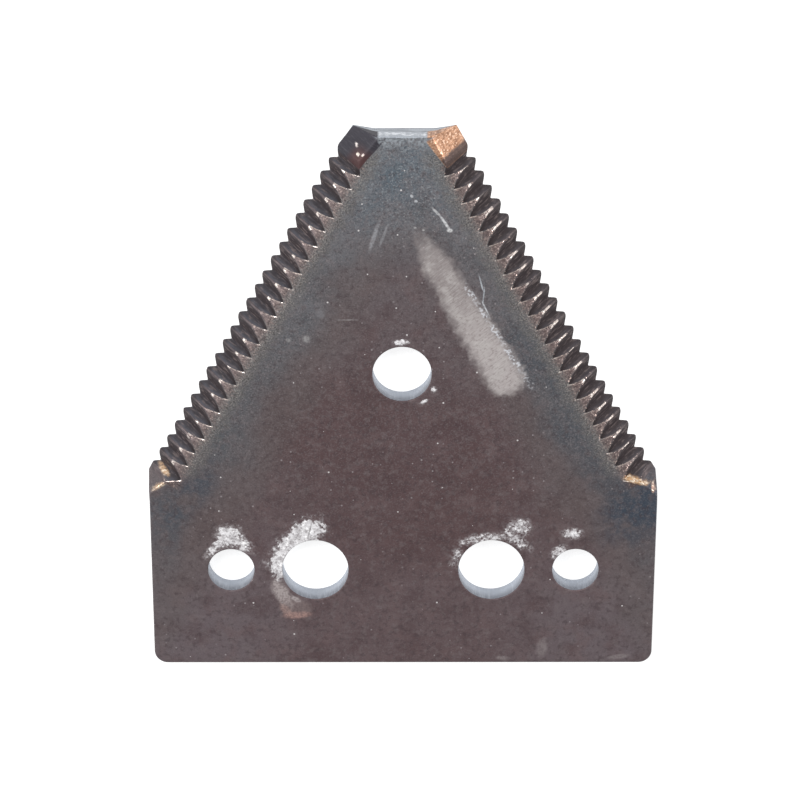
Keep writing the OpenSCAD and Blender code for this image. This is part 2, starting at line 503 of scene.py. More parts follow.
def face_points(step):
    """An even grid over the flat middle of a face, clear of the edges and the holes."""
    columns = np.arange(-HALF_WIDTH, HALF_WIDTH, step)
    rows = np.arange(HEEL_Y, TIP_Y, step)
    x, y = (grid.ravel() for grid in np.meshgrid(columns, rows))
    keep = (to_edge(x, y)[1] > STRIP_WIDTH + step / 2) & (rim_distance(x, y) > step / 2)
    for hole_x, hole_y, radius in HOLES:
        keep &= np.hypot(x - hole_x, y - hole_y) > radius + HOLE_RINGS[-1] + step / 2
    return np.column_stack([x[keep], y[keep]])


def triangulate(loops, loose):
    """Points and triangles inside the first loop and outside the others."""
    points = np.concatenate(loops + [loose])
    edges = []
    start = 0
    for loop in loops:
        count = len(loop)
        edges += [(start + i, start + (i + 1) % count) for i in range(count)]
        start += count
    result = delaunay_2d_cdt([Vector(p) for p in points], edges, [], 1, MERGE)
    found = np.array([tuple(v) for v in result[0]])
    faces = np.array([tuple(f) for f in result[2]])
    middles = found[faces].mean(1)
    keep = np.ones(len(faces), bool)
    for hole_x, hole_y, radius in HOLES:
        inside = radius * math.cos(math.pi / HOLE_STEPS) - MERGE
        keep &= np.hypot(middles[:, 0] - hole_x, middles[:, 1] - hole_y) > inside
    return found, faces[keep], result[3]


def wall_faces(loops, place, count):
    """Faces that join the front and rear points along the loops."""
    faces = []
    start = 0
    for number, loop in enumerate(loops):
        for i in range(len(loop)):
            a = start + i
            b = start + (i + 1) % len(loop)
            wall = (place[a], count + a, count + b, place[b])
            faces.append(wall if number else wall[::-1])
        start += len(loop)
    return faces


# Marks, which are kept as a strength and a tint on the points of the mesh


def mark_reach(x, y, mark):
    """Distance from the centre of a mark, with 1 on its border."""
    turn = math.radians(mark[2])
    from_x = x - mark[0][0]
    from_y = y - mark[0][1]
    ahead = from_x * math.cos(turn) + from_y * math.sin(turn)
    aside = from_y * math.cos(turn) - from_x * math.sin(turn)
    return np.hypot(ahead / mark[1][0], aside / mark[1][1])


def edge_drift(y):
    """Shift across the plate at each height, below zero where the plate stands to the left."""
    return EDGE_DRIFT * smooth_step(y, *DRIFT_RISE)


def mark_points(marks):
    """A fine grid of points inside the small marks on the flat of the front face."""
    points = []
    for mark in marks:
        turn = math.radians(mark[2])
        spans = []
        for half in mark[1]:
            step = np.clip(half / STEPS_IN_MARK, LEAST_MARK_STEP, MARK_STEP)
            spans.append(np.arange(-half * MARK_REACH, half * MARK_REACH + step, step))
        ahead, aside = (grid.ravel() for grid in np.meshgrid(*spans))
        x = mark[0][0] + ahead * math.cos(turn) - aside * math.sin(turn)
        y = mark[0][1] + ahead * math.sin(turn) + aside * math.cos(turn)
        keep = mark_reach(x, y, mark) < MARK_REACH
        x = x - edge_drift(y)
        keep &= to_edge(x, y)[1] > STRIP_WIDTH
        keep &= rim_distance(x, y) > MARK_CLEARANCE * OUTER_RIM
        for hole_x, hole_y, radius in HOLES:
            keep &= np.hypot(x - hole_x, y - hole_y) > radius + MARK_CLEARANCE * HOLE_RIM
        points.append(np.column_stack([x[keep], y[keep]]))
    return np.concatenate(points)


def ragged(x, y, grain):
    """Uneven values round zero, which move the borders of the marks."""
    points = zip(x / grain, y / grain)
    return np.array([noise.fractal((px, py, RAG_LEVEL), *RAG_OCTAVES) for px, py in points])


def paint(x, y, marks, soft, rag):
    """Strength and tint of a set of marks at points."""
    clear = np.ones(len(x))
    tint = np.zeros((len(x), 3))
    weights = np.zeros(len(x))
    for mark in marks:
        reach = mark_reach(x, y, mark) + np.clip(rag, -RAG_LIMIT, RAG_LIMIT)
        share = smooth_step(reach, 1 + soft, 1 - soft) * mark[3]
        weight = share + FAINT_TINT / (1 + np.maximum(reach, 0) ** 2) ** 2
        tint += weight[:, None] * np.array(srgb(*mark[4]))
        weights += weight
        clear *= 1 - np.minimum(share, 1)
    return 1 - clear, tint / weights[:, None]


def add_field(mesh, name, values):
    """Keeps a number for every point of the mesh, for the materials to read."""
    layer = mesh.attributes.new(name, "FLOAT", "POINT")
    layer.data.foreach_set("value", values)


def add_paint(mesh, name, x, y, marks, soft, rag):
    """Keeps the strength and the tint of a set of marks for every point of the mesh."""
    strength, tint = paint(x, y, marks, soft, rag)
    add_field(mesh, name, strength)
    layer = mesh.attributes.new(name + "_tint", "FLOAT_COLOR", "POINT")
    layer.data.foreach_set("color", np.column_stack([tint, np.ones(len(x))]).ravel())


def section_mesh():
    """The whole section as a mesh: front face, rear face and walls, with the bores in a slot of their own."""
    heel = heel_line()
    tip = tip_line()
    outer = np.concatenate([heel[:-1], edge_outline(1)[::-1], tip[1:-1], edge_outline(-1)])[:-1]
    loops = [outer] + [hole_ring(hole, 0) for hole in HOLES]
    loose = [strip_points(1), strip_points(-1), rim_points(heel), rim_points(tip), face_points(FACE_STEP)]
    loose += [hole_ring(hole, distance) for hole in HOLES for distance in HOLE_RINGS]
    loose.append(mark_points(MARKS + SCUFFS))
    top, top_faces, origins = triangulate(loops, np.concatenate(loose))
    bottom, bottom_faces, _ = triangulate(loops, face_points(REAR_STEP))
    place = {source: index for index, sources in enumerate(origins) for source in sources}
    count = len(top)
    walls = wall_faces(loops, place, count)
    faces = [tuple(face) for face in top_faces]
    faces += [tuple(count + index for index in face[::-1]) for face in bottom_faces]
    slots = [0] * (len(faces) + len(outer)) + [1] * (len(walls) - len(outer))
    flat = np.concatenate([top, bottom])
    heights = np.concatenate([front_height(top[:, 0], top[:, 1]), np.zeros(len(bottom))])
    worn = TIP_CORNER_SHIFT * smooth_step(flat[:, 1], *TIP_CORNER_RISE)
    worn = worn * smooth_step(flat[:, 0], *TIP_CORNER_SPAN)
    points = np.column_stack([flat[:, 0] + edge_drift(flat[:, 1]) + worn, flat[:, 1], heights])
    mesh = bpy.data.meshes.new("section")
    mesh.from_pydata((points * MM).tolist(), [], faces + walls)
    mesh.polygons.foreach_set("material_index", slots)
    mesh.polygons.foreach_set("use_smooth", [True] * len(slots))
    mesh.set_sharp_from_angle(angle=SHARP_ANGLE)
    along, inward = to_edge(flat[:, 0], flat[:, 1])
    surface, offset = grooves(flat[:, 0], flat[:, 1])
    sunk = sloped_face(flat[:, 0], flat[:, 1]) - surface
    for name, values in zip(FIELDS, (*points.T, along, inward, sunk, offset)):
        add_field(mesh, name, values)
    x, y = points[:, 0], points[:, 1]
    rags = {grain: ragged(x, y, grain) for grain in (COARSE_RAG, FINE_RAG)}
    for name, marks, soft, grain, strength in PAINTS:
        add_paint(mesh, name, x, y, marks, soft, rags[grain] * strength)
    return mesh


# Materials

# Steps between the places in the noise and in the net of dots that the seeds stand for
NOISE_STRIDE = (173, 91, 37)
SPECK_STRIDE = (57, 83, 0)
# Least and largest dot and soft border of the dots, in radii, and the step of the chance that a cell has one
SPECK_SIZES = (0.5, 1.3)
SPECK_BORDER = (1.1, 0.5)
SPECK_STEP = 0.01
# First input and output of the mix node for each kind of value
MIX_SOCKETS = {"RGBA": (6, 2), "FLOAT": (2, 0)}


class Field:
    """A number that changes over the surface: the output of a shader node."""

    def __init__(self, tree, socket):
        self.tree = tree
        self.socket = socket

    def math(self, operation, other=0.0):
        """This number and another one under an operation of the math node."""
        node = self.tree.nodes.new("ShaderNodeMath")
        node.operation = operation
        plug(self.tree, self, node.inputs[0])
        plug(self.tree, other, node.inputs[1])
        return Field(self.tree, node.outputs[0])

    def __add__(self, other):
        return self.math("ADD", other)

    def __sub__(self, other):
        return self.math("SUBTRACT", other)

    def __mul__(self, other):
        return self.math("MULTIPLY", other)

    def __truediv__(self, other):
        return self.math("DIVIDE", other)

    def over(self, other):
        """The larger of two numbers."""
        return self.math("MAXIMUM", other)

    def size(self):
        """The number without its sign."""
        return self.math("ABSOLUTE")

    def ramp(self, start, end, low=0.0, high=1.0):
        """A smooth passage from low at start to high at end."""
        node = self.tree.nodes.new("ShaderNodeMapRange")
        node.interpolation_type = "SMOOTHSTEP"
        for socket, value in zip(node.inputs, (self, start, end, low, high)):
            plug(self.tree, value, socket)
        return Field(self.tree, node.outputs[0])

    def between(self, start, end, soft):
        """1 from start to end, fading to 0 over a way of soft outside them."""
        return self.ramp(start - soft, start) * self.ramp(end + soft, end)


def plug(tree, value, socket):
    """Links a field to a socket, or sets a plain value or colour on it."""
    if isinstance(value, Field):
        tree.links.new(value.socket, socket)
    elif isinstance(value, tuple) and len(value) < len(socket.default_value):
        socket.default_value = (*value, 1)
    else:
        socket.default_value = value


class Coat:
    """A material on one shader, whose colour, roughness and metal share are laid on in layers."""

    def __init__(self, name, colour, roughness, metallic):
        self.material = bpy.data.materials.new(name)
        self.material.use_nodes = True
        self.tree = self.material.node_tree
        self.shader = self.tree.nodes["Principled BSDF"]
        self.colour = colour
        self.roughness = roughness
        self.metallic = metallic
        self.place = self.node("ShaderNodeTexCoord").outputs["Object"]
        self.x, self.y, self.z, self.along, self.inward, self.sunk, self.offset = map(self.field, FIELDS)

    def node(self, kind):
        """A new shader node."""
        return self.tree.nodes.new(kind)

    def field(self, name):
        """A number kept on the mesh."""
        node = self.node("ShaderNodeAttribute")
        node.attribute_name = name
        return Field(self.tree, node.outputs["Fac"])

    def mapped(self, centre, turn, sizes):
        """Coordinates from a centre, turned in the plane of the plate, in units of the sizes."""
        node = self.node("ShaderNodeMapping")
        node.vector_type = "TEXTURE"
        self.tree.links.new(self.place, node.inputs["Vector"])
        node.inputs["Location"].default_value = [value * MM for value in centre]
        node.inputs["Rotation"].default_value = (0, 0, math.radians(turn))
        node.inputs["Scale"].default_value = [value * MM for value in sizes]
        return node.outputs[0]

    def noise(self, lump, detail, seed, turn=0.0):
        """Cloudy noise round 0.5, with lumps of a size, or of one size for each axis."""
        lumps = lump if isinstance(lump, tuple) else (lump,) * 3
        node = self.node("ShaderNodeTexNoise")
        centre = [seed * stride for stride in NOISE_STRIDE]
        self.tree.links.new(self.mapped(centre, turn, lumps), node.inputs["Vector"])
        node.inputs["Scale"].default_value = 1.0
        node.inputs["Detail"].default_value = detail
        return Field(self.tree, node.outputs["Fac"])

    def cloud(self, lump, detail, seed, start, end):
        """Patches of noise, from none where it is at start to full where it is at end."""
        return self.noise(lump, detail, seed).ramp(start, end)

    def specks(self, cell, share, radius, seed):
        """Small round dots, one in a share of the cells of a random net."""
        node = self.node("ShaderNodeTexVoronoi")
        node.voronoi_dimensions = "2D"
        centre = [seed * stride for stride in SPECK_STRIDE]
        self.tree.links.new(self.mapped(centre, 0, (cell,) * 3), node.inputs["Vector"])
        node.inputs["Scale"].default_value = 1.0
        split = self.node("ShaderNodeSeparateColor")
        self.tree.links.new(node.outputs["Color"], split.inputs[0])
        chance = Field(self.tree, split.outputs[0])
        reach = Field(self.tree, split.outputs[1]).ramp(0, 1, *(radius * size for size in SPECK_SIZES))
        distance = Field(self.tree, node.outputs["Distance"]) * cell
        return (distance / reach).ramp(*SPECK_BORDER) * chance.ramp(1 - share, 1 - share + SPECK_STEP)

    def tint(self, name):
        """The tint of a set of marks kept on the mesh."""
        node = self.node("ShaderNodeAttribute")
        node.attribute_name = name + "_tint"
        return Field(self.tree, node.outputs["Color"])

    def mix(self, kind, mask, before, after):
        """A layer over another one, as far as the mask says."""
        node = self.node("ShaderNodeMix")
        node.data_type = kind
        first, result = MIX_SOCKETS[kind]
        plug(self.tree, mask, node.inputs[0])
        plug(self.tree, before, node.inputs[first])
        plug(self.tree, after, node.inputs[first + 1])
        return Field(self.tree, node.outputs[result])

    def lay(self, mask, colour, roughness=None, metallic=None):
        """Lays on a screen colour or a tint of the mesh, and any finish given, as far as the mask says."""
        if isinstance(colour, tuple):
            colour = srgb(*colour)
        self.colour = self.mix("RGBA", mask, self.colour, colour)
        if roughness is not None:
            self.roughness = self.mix("FLOAT", mask, self.roughness, roughness)
        if metallic is not None:
            self.metallic = self.mix("FLOAT", mask, self.metallic, metallic)

    def close(self, height=None, specular=0.3):
        """Connects the layers, and a relief height in millimetres, to the shader."""
        plug(self.tree, self.colour, self.shader.inputs["Base Color"])
        plug(self.tree, self.roughness, self.shader.inputs["Roughness"])
        plug(self.tree, self.metallic, self.shader.inputs["Metallic"])
        self.shader.inputs["Specular IOR Level"].default_value = specular
        if height is not None:
            bump = self.node("ShaderNodeBump")
            bump.inputs["Strength"].default_value = 1.0
            bump.inputs["Distance"].default_value = MM
            plug(self.tree, height, bump.inputs["Height"])
            self.tree.links.new(bump.outputs[0], self.shader.inputs["Normal"])
        return self.material


# Where the layers lie: each pair runs from where a layer starts to where it is full, as heights in Y, widths
# in X or ways along and inwards from the cutting edge
FILM_HEEL = (-14, -30)
FILM_CORNER_HEIGHT = (-18, -34)
FILM_CORNER_WIDTH = (9, 26)
FILM_UPPER = (-2, 20)
FILM_RED_HEIGHT = (-22, -3)
FILM_RED_FADE = 9
FILM_RED_WIDTH = (24, 6)
HEAT_WANDER = 9
HEAT_BORDER = (18, 12)
HEAT_REACH = (12.5, 6.5)
HEAT_HEEL_FADE = (62, 50)
HEAT_TIP = (20, 33)
HEAT_PALE = (2, 24)
HEAT_DARK_WIDTH = (5, 15)
HEAT_DARK_ALONG = (22, 38)
TIP_BLUE = (26, 40)
TIP_PALE = (36, 41.5)
GRAIN_RISE = (-30, 0)
GRAIN_TIP = (22, 36)
HALO_WANDER = 3
HALO_REACH = (7.0, 4.6)
HALO_SPAN = (TIP_LAND - 2.5, LAST_NOTCH - 3)
HALO_FADE = 3
# The toothed zone, with depths below the ungrooved surface and ways from the floor of a groove
ROW_SPAN = (TIP_LAND - 1.2, LAST_NOTCH + 1.5)
ROW_FADE = 0.3
ROW_REACH = (5.6, 4.6)
TEETH_REACH = (4.2, 2.6)
LAND_REACH = (1.8, 2.6)
LAND_DEPTH = (0.04, -0.12)
GROOVE_DEPTH = (0.0, 0.22)
STEEP_FLANK = (-0.05, 0.12)
# Where the painted highlights on the rims, crests and ridges of the teeth lie
RIM_SPAN = (2.4, 4.6)
CREST_DEPTH = (0.13, 0.05)
GLINT_SPAN = (2.25, 2.5)
STROKE_SPAN = (1.4, 1.9)
RIDGE_DEPTH = (0.22, 0.08)
RIDGE_SPAN = (1.2, 4.6)
# The tip, whose middle stands to the left, and whose pale end runs out behind the lands along a slant
TIP_OFFSET = 0.22
TIP_SLANT = 0.35
TIP_SLANT_BORDER = (2.6, 2.8)
TIP_LAND_WIDTH = (3.25, 3.65)
TIP_LAND_HEIGHT = (42.1, 42.4)
TIP_LAND_REACH = (4.25, 4.05)
TIP_LAND_END = (4.3, 4.0)
TIP_END_WIDTH = (3.7, 3.3)
TIP_END_HEIGHT = (42.2, 42.45)
TIP_WASH = (40.2, 42.3)
# Heights in Z at which the front face starts and the rough and bright bands of the tip end lie
FRONT_FACE = (3.0, 3.3)
ROUGH_BAND = (2.0, 1.6)
BRIGHT_BAND = (1.9, 3.2)
WASH_LEVEL = (3.2, 3.45)
# The smear: start, heading, turn of the fine wipe lines across it, unevenness, width and ends
SMEAR_START = (2.3, 27.4)
SMEAR_HEADING = math.radians(-60.3)
SMEAR_HATCH = 40
SMEAR_RAG = 0.9
SMEAR_TAPER = (-2, 6, 0.8, 1.85)
SMEAR_WIDENING = 0.032
SMEAR_OFFSET = 0.2
SMEAR_BORDER = (1.36, 0.5)
SMEAR_BOW = 1.1
SMEAR_UPPER_END = (-2.5, 5)
SMEAR_LOWER_END = (29.4, 27.2)
SMEAR_PALE = (8, 21)
SPARK_ACROSS = (0.86, 1.04)
SPARK_DOWN = (11, 28)
# Length and width of the grinding streaks, which run square to the edges
STREAK_LUMPS = (2.4, 0.28, 1.0)
# Heights of the fine relief, and how far in from the edges that of the streaks reaches
GRAIN_RELIEF = 0.006
STREAK_RELIEF = 0.03
STREAK_REACH = (6.5, 4.5)
CRUST_RELIEF = 0.12
SMEAR_RELIEF = 0.01
BORE_RELIEF = 0.01


def lay_patina(coat):
    """The cloudy brown film of the middle and lower plate."""
    coat.lay(coat.cloud(17, 3.0, 1, 0.42, 0.62), (88, 71, 72))
    coat.lay(coat.cloud(11, 3.0, 2, 0.5, 0.7) * 0.7, (98, 85, 88))
    coat.lay(coat.y.ramp(*FILM_HEEL) * 0.6, (98, 82, 84))
    corners = coat.y.ramp(*FILM_CORNER_HEIGHT) * coat.x.size().ramp(*FILM_CORNER_WIDTH)
    coat.lay(corners * 0.8, (104, 94, 98))
    coat.lay(coat.y.ramp(*FILM_UPPER) * 0.65, (99, 92, 95))
    red = coat.y.between(*FILM_RED_HEIGHT, FILM_RED_FADE) * coat.x.size().ramp(*FILM_RED_WIDTH)
    coat.lay(red * 0.7, (87, 67, 68))
    coat.lay(coat.cloud(3.6, 5.0, 36, 0.46, 0.7) * 0.55, (105, 87, 88))
    coat.lay(coat.cloud(4.2, 5.0, 37, 0.54, 0.3) * 0.55, (78, 61, 63))


def lay_heat_zone(coat):
    """The blue-grey zone along the edges and the tip, its border and its patches. Returns the zone."""
    wander = (coat.noise(7, 5.0, seed=6) - 0.5) * HEAT_WANDER
    reach = coat.inward + wander
    coat.lay(reach.ramp(*HEAT_BORDER) * 0.5, (96, 89, 89))
    zone = reach.ramp(*HEAT_REACH) * coat.along.ramp(*HEAT_HEEL_FADE, 0.3, 1)
    zone = zone.over((coat.y + wander).ramp(*HEAT_TIP))
    coat.lay(zone * 0.85, (91, 92, 96))
    coat.lay(zone * coat.cloud(4, 5.0, 7, 0.45, 0.7) * 0.75, (81, 85, 90))
    pale = zone * coat.y.ramp(*HEAT_PALE) * coat.cloud(5, 5.0, 43, 0.35, 0.6)
    coat.lay(pale * 0.7, (116, 115, 119))
    lower_right = coat.x.ramp(*HEAT_DARK_WIDTH) * coat.along.ramp(*HEAT_DARK_ALONG)
    coat.lay(zone * lower_right * coat.cloud(5, 5.0, 49, 0.3, 0.6) * 0.6, (68, 74, 82))
    blue = coat.y.ramp(*TIP_BLUE) * coat.cloud(3, 5.0, 8, 0.3, 0.66)
    coat.lay(blue * 0.9, (97, 107, 116))
    pale = coat.y.ramp(*TIP_PALE) * coat.cloud(1.4, 4.0, 54, 0.35, 0.6)
    coat.lay(pale * 0.6, (126, 132, 138))
    coat.lay(coat.field("temper") * coat.cloud(3, 5.0, 44, 0.3, 0.55), coat.tint("temper"))
    return zone


def lay_grain(coat, zone):
    """Fine light and dark grain, stronger in the blue-grey zone."""
    strength = zone * 0.3 + coat.y.ramp(*GRAIN_RISE, 0.18, 0.32)
    coat.lay(coat.cloud(0.9, 4.0, 4, 0.48, 0.72) * 0.4, (114, 104, 105))
    coat.lay(coat.cloud(0.7, 4.0, 5, 0.52, 0.28) * 0.5, (68, 57, 60))
    coat.lay(coat.cloud(0.22, 2.0, 30, 0.44, 0.8) * strength, (134, 129, 131))
    coat.lay(coat.cloud(0.26, 2.0, 31, 0.54, 0.22) * strength, (58, 53, 56))
    tip = coat.y.ramp(*GRAIN_TIP)
    coat.lay(tip * coat.cloud(0.26, 2.0, 45, 0.52, 0.72) * 0.5, (156, 162, 166))
    coat.lay(tip * coat.cloud(0.5, 4.0, 46, 0.5, 0.3) * 0.6, (68, 76, 84))


def lay_halo(coat):
    """Speckled beige steel round the inner ends of the grooves."""
    reach = coat.inward + (coat.noise(1.6, 3.0, seed=9) - 0.5) * HALO_WANDER
    halo = reach.ramp(*HALO_REACH) * coat.along.between(*HALO_SPAN, HALO_FADE)
    coat.lay(halo * 0.65, (103, 100, 99), 0.55)
    coat.lay(halo * coat.cloud(0.22, 1.0, 10, 0.48, 0.7) * 0.75, (148, 144, 139))
    coat.lay(halo * coat.cloud(0.24, 1.0, 11, 0.5, 0.3) * 0.8, (66, 63, 63))


def lay_teeth(coat, streak):
    """Dark grooves with painted light and shade on their flanks, brown lands between them, and painted
    highlights on the rims and crests.
    """
    inward = coat.inward
    along = coat.along
    sunk = coat.sunk
    offset = coat.offset
    row = along.between(*ROW_SPAN, ROW_FADE)
    zone = inward.ramp(*ROW_REACH) * row
    teeth = inward.ramp(*TEETH_REACH) * row
    coat.lay(teeth, (92, 83, 85), 0.45)
    land = zone * sunk.ramp(*LAND_DEPTH) * inward.ramp(*LAND_REACH)
    right = coat.x.ramp(-1, 1)
    coat.lay(land * inward.ramp(5.0, 3.4) * 0.9, (98, 85, 84), 0.45)
    coat.lay(land * right * inward.ramp(4.9, 3.0) * 0.8, (78, 63, 61))
    coat.lay(land * streak.ramp(0.5, 0.72) * 0.4, (132, 115, 111), 0.4)
    worn = land * inward.ramp(5.5, 4.0)
    coat.lay(worn * coat.cloud(0.26, 1.0, 32, 0.52, 0.7) * 0.65, (158, 141, 135), 0.36)
    coat.lay(worn * coat.cloud(0.28, 1.0, 33, 0.48, 0.3) * 0.7, (66, 56, 57))
    groove = zone * sunk.ramp(*GROOVE_DEPTH)
    coat.lay(groove, (72, 68, 72), 0.5)
    # Painted light and shade on the flanks: the steep flanks, which face the tip, lighter and bluer, and the
    # flanks on the tip side of each groove, which face the heel, darker; the grooves also darken towards
    # their inner ends
    steep = offset.ramp(*STEEP_FLANK)
    coat.lay(groove * steep * sunk.ramp(0.9, 0.2) * 0.8, (88, 88, 96), 0.45)
    coat.lay(groove * right * 0.55, (66, 55, 54))
    coat.lay(groove * offset.ramp(0.05, -0.5) * 0.85, (56, 48, 50), 0.55)
    coat.lay(groove * inward.ramp(3.0, 4.3) * 0.85, (46, 39, 40))
    coat.lay(teeth * streak.ramp(0.52, 0.7) * 0.6, (130, 117, 115))
    coat.lay(teeth * streak.ramp(0.48, 0.3) * 0.5, (52, 47, 50))
    coat.lay(inward.ramp(1.0, 0.3) * row * 0.6, (58, 53, 55))
    # Painted highlights, laid as bright metal: a bright line along the rims of the steep flanks that sparkles
    # near the inner ends of the grooves, glints where the lands begin, and strokes and specks along the
    # crests on the right
    lone = coat.noise((90, 2.2, 90), 0.0, seed=12)
    rim = zone * sunk.ramp(-0.1, -0.02) * sunk.ramp(0.13, 0.04) * steep * inward.between(*RIM_SPAN, 0.3)
    coat.lay(rim * coat.cloud(0.5, 2.0, 34, 0.38, 0.6) * 0.85, (198, 182, 174), 0.3, 0.8)
    spark = coat.cloud(0.45, 1.0, 35, 0.5, 0.58)
    coat.lay(rim * inward.ramp(3.7, 4.3) * spark, (246, 234, 226), 0.25, 0.9)
    crest = zone * sunk.size().ramp(*CREST_DEPTH)
    glint = crest * inward.between(*GLINT_SPAN, 0.2) * lone.ramp(0.34, 0.52)
    coat.lay(glint, (250, 238, 230), 0.25, 0.9)
    stroke = crest * right * inward.between(*STROKE_SPAN, 0.25)
    stroke = stroke * coat.cloud((90, 2.1, 90), 0.0, 52, 0.4, 0.52)
    coat.lay(stroke, (250, 236, 228), 0.25, 0.9)
    ridge = zone * sunk.size().ramp(*RIDGE_DEPTH) * inward.between(*RIDGE_SPAN, 0.3) * right
    coat.lay(ridge * coat.cloud(0.32, 2.0, 47, 0.6, 0.68), (232, 206, 196), 0.28, 0.8)


def lay_tip(coat, streak):
    """The ground lands beside the tip: copper-coloured on the right, dark on the left."""
    along = coat.along
    inward = coat.inward
    reach = inward + along * 0.14 - coat.x.ramp(-0.5, 0.5, 0.5, 0.2)
    land = along.ramp(*TIP_LAND_END) * reach.ramp(*TIP_LAND_REACH) * along.ramp(-1.2, -0.6)
    aside = (coat.x + TIP_OFFSET).size()
    slant = (aside * TIP_SLANT + coat.z).ramp(*TIP_SLANT_BORDER)
    land = land.over(coat.y.ramp(*TIP_LAND_HEIGHT) * aside.ramp(*TIP_LAND_WIDTH) * slant)
    right = land * coat.x.ramp(-0.5, 0.5)
    left = land * coat.x.ramp(0.5, -0.5)
    flecks = coat.noise(0.3, 2.0, seed=38)
    coat.lay(right, (176, 134, 107), 0.42, 0.5)
    coat.lay(right * streak.ramp(0.5, 0.7) * 0.8, (206, 164, 138), 0.38)
    coat.lay(right * streak.ramp(0.5, 0.32) * 0.8, (126, 90, 70))
    coat.lay(right * flecks.ramp(0.46, 0.3) * 0.7, (112, 78, 60))
    coat.lay(right * flecks.ramp(0.56, 0.68) * 0.8, (240, 208, 184))
    coat.lay(right * (along + flecks).ramp(2.7, 3.2) * 0.92, (74, 62, 61), 0.5, 0.4)
    coat.lay(left, (54, 52, 59), 0.5, 0.3)
    coat.lay(left * streak.ramp(0.5, 0.7) * 0.5, (78, 75, 81))
    coat.lay(left * along.ramp(0.4, 2.6) * inward.ramp(1.4, 3.0) * 0.85, (80, 54, 53))


def lay_tip_end(coat):
    """The pale sheared end of the tip, rougher in its lower half, and a wash on the face beside it."""
    aside = (coat.x + TIP_OFFSET).size()
    across = aside.ramp(*TIP_END_WIDTH)
    slant = (aside * TIP_SLANT + coat.z).ramp(*TIP_SLANT_BORDER[::-1])
    end = coat.y.ramp(*TIP_END_HEIGHT) * across.over(slant)
    drag = coat.noise((2.5, 1, 0.25), 3.0, seed=13)
    coat.lay(end, (166, 171, 178), 0.45, 0.5)
    coat.lay(end * drag.ramp(0.45, 0.65) * coat.z.ramp(*ROUGH_BAND), (132, 136, 143))
    bright = end * coat.z.between(*BRIGHT_BAND, 0.2)
    coat.lay(bright * coat.cloud(0.6, 3.0, 14, 0.4, 0.66) * 0.8, (220, 223, 228), 0.35)
    wash = coat.y.ramp(*TIP_WASH) * across * coat.cloud(0.4, 4.0, 39, 0.42, 0.62)
    coat.lay(wash * coat.z.ramp(*WASH_LEVEL) * 0.8, (158, 164, 170))


def lay_glint_patches(coat):
    """Painted glints, laid as bright metal: gold highlights on the facets that close the bevels at the heel,
    and white ones on the left tip land.
    """
    bare = coat.field("bare") * coat.noise(0.4, 4.0, seed=40).ramp(0.3, 0.5, 0.3, 1)
    coat.lay(bare, coat.tint("bare"), 0.32, 0.8)
    coat.lay(bare * coat.cloud((0.7, 0.35, 0.5), 5.0, 53, 0.46, 0.66), (255, 240, 220), 0.25)


def lay_smear(coat, front):
    """The pale dry smear down the right of the plate, with a sparkling border. Returns where it lies."""
    from_x = coat.x - SMEAR_START[0]
    from_y = coat.y - SMEAR_START[1]
    down = from_x * math.cos(SMEAR_HEADING) + from_y * math.sin(SMEAR_HEADING)
    across = from_y * math.cos(SMEAR_HEADING) - from_x * math.sin(SMEAR_HEADING)
    rag = (coat.noise(0.9, 5.0, seed=15) - 0.5) * SMEAR_RAG
    width = down.ramp(*SMEAR_TAPER) + down * SMEAR_WIDENING
    aside = (across + SMEAR_OFFSET) / width
    inside = (aside.size() + rag).ramp(*SMEAR_BORDER)
    bowed = down + rag * 2.5 + aside * aside * SMEAR_BOW
    length = (down + rag * 3).ramp(*SMEAR_UPPER_END) * bowed.ramp(*SMEAR_LOWER_END)
    smear = inside * length * front
    coat.lay(smear * 0.92, (142, 135, 134), 0.7, 0.1)
    coat.lay(smear * down.ramp(*SMEAR_PALE) * 0.75, (170, 163, 162))
    coat.lay(smear * coat.cloud(2.2, 4.0, 16, 0.45, 0.66) * 0.7, (170, 165, 163))
    hatch = coat.noise((1.1, 0.2, 0.3), 3.0, seed=17, turn=SMEAR_HATCH)
    coat.lay(smear * hatch.ramp(0.5, 0.32) * 0.4, (114, 104, 103))
    coat.lay(smear * hatch.ramp(0.54, 0.72) * 0.35, (190, 186, 184))
    coat.lay(smear * coat.cloud(0.45, 4.0, 48, 0.48, 0.3) * 0.5, (118, 108, 107))
    spark = aside.between(*SPARK_ACROSS, 0.16) * down.between(*SPARK_DOWN, 2) * front
    spark = spark * coat.noise(1.8, 3.0, seed=50).ramp(0.4, 0.6, 0.25, 1)
    coat.lay(spark * coat.cloud(0.4, 4.0, 41, 0.46, 0.62) * 0.85, (226, 228, 234), 0.3, 0.5)
    return smear


def lay_marks(coat, front):
    """Scratches, spots, scuffs round the holes with two painted glints among them, and scattered pale specks.
    Returns where the crust lies.
    """
    cover = coat.field("crust")
    dust = coat.noise(0.3, 3.0, seed=42)
    coat.lay(cover.ramp(0.03, 0.45) * dust.ramp(0.36, 0.62) * front * 0.7, (156, 150, 152), 0.6)
    flakes = coat.noise(0.42, 5.0, seed=18) + cover * 0.75 - 0.8
    crust = flakes.ramp(0.0, 0.26) * cover.ramp(0.05, 0.25) * front
    coat.lay(crust, coat.tint("crust"), 0.65, 0.1)
    coat.lay(crust * coat.cloud(1.1, 4.0, 19, 0.44, 0.64) * 0.75, (160, 156, 158))
    coat.lay(crust * coat.cloud(0.6, 3.0, 20, 0.54, 0.66) * 0.9, (242, 241, 242))
    coat.lay(crust * dust.ramp(0.5, 0.34) * 0.6, (122, 115, 117))
    coat.lay(coat.field("mark") * dust.ramp(0.36, 0.58, 0.5, 1) * front, coat.tint("mark"), 0.6)
    cluster = coat.cloud(9, 2.0, 21, 0.4, 0.65) * front
    coat.lay(coat.specks(1.5, 0.3, 0.13, 1) * cluster * 0.7, (160, 153, 155), 0.5)
    coat.lay(coat.specks(5.5, 0.3, 0.13, 3) * front * 0.9, (214, 210, 210), 0.5)
    return crust


